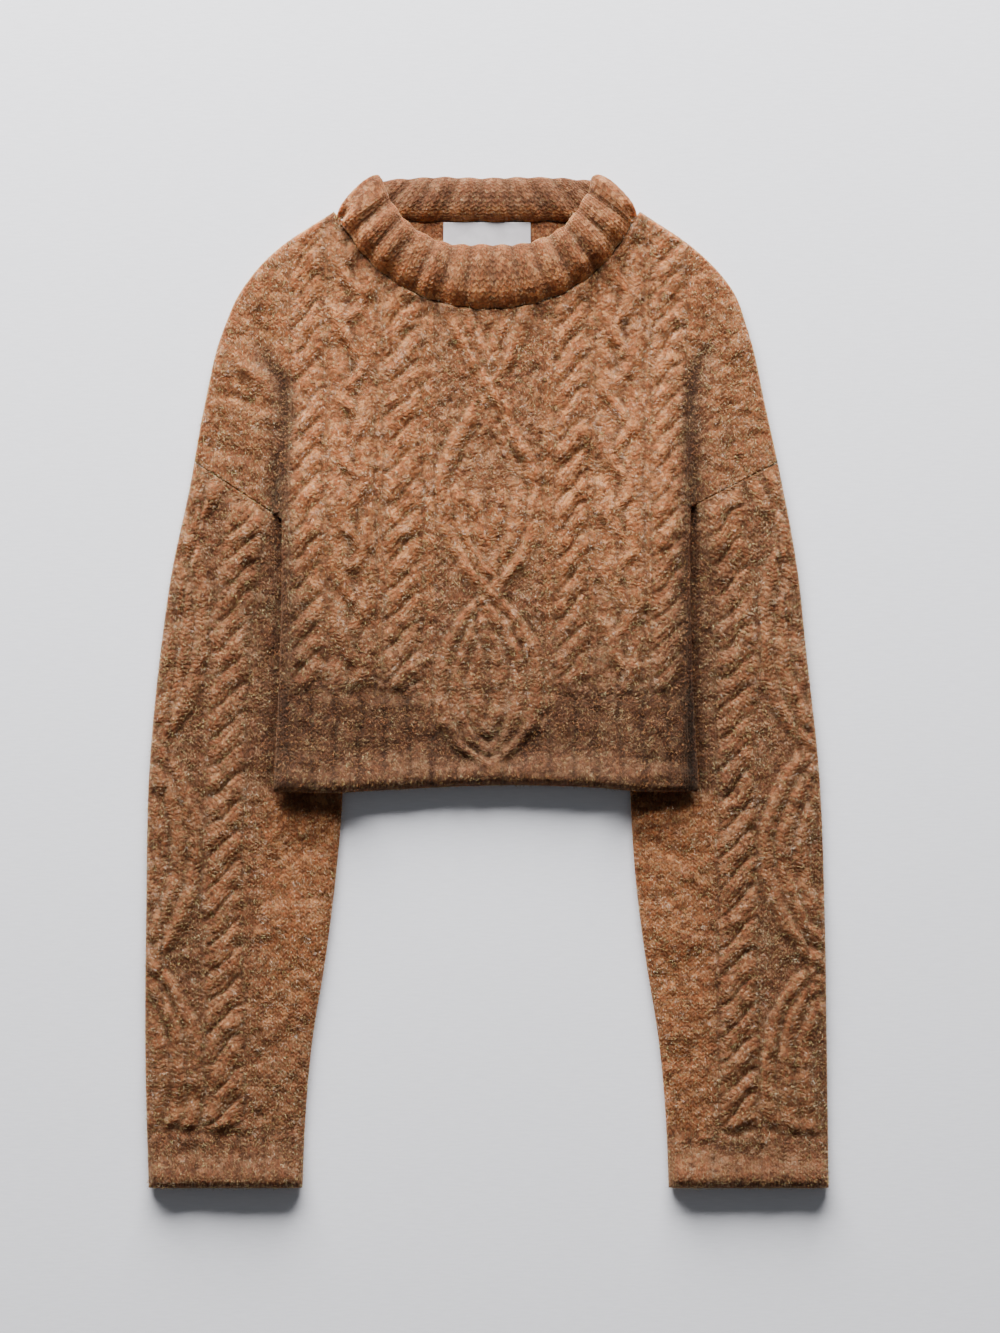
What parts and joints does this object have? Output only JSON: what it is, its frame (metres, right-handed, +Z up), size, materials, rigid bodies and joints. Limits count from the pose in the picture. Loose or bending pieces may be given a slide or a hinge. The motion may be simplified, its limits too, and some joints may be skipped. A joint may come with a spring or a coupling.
{
  "type": "cropped cable-knit sweater laid flat",
  "caption": "Cropped chunky cable-knit sweater with drop shoulders and a rolled rib neckband, laid flat on its back with both sleeves folded down beside the body.",
  "frame": {"origin": "on the surface that the sweater lies on, under the middle of its outline", "axes": "+X across the sweater towards the sleeve on the right of the view from above, +Y from the hem to the neck, +Z up from the surface"},
  "size_m": [0.4777, 0.7079, 0.0238],
  "materials": {
    "wool_cable_knit": "fuzzy heathered wool",
    "wool_plain_knit": "fuzzy heathered wool",
    "wool_rib": "fuzzy heathered wool",
    "label_satin": "woven satin"
  },
  "bodies": {
    "root": {"front": "wool_cable_knit", "back": "wool_plain_knit", "sleeve_left": "wool_cable_knit", "sleeve_right": "wool_cable_knit", "neckband": "wool_rib", "label": "label_satin"}
  },
  "joints": []
}
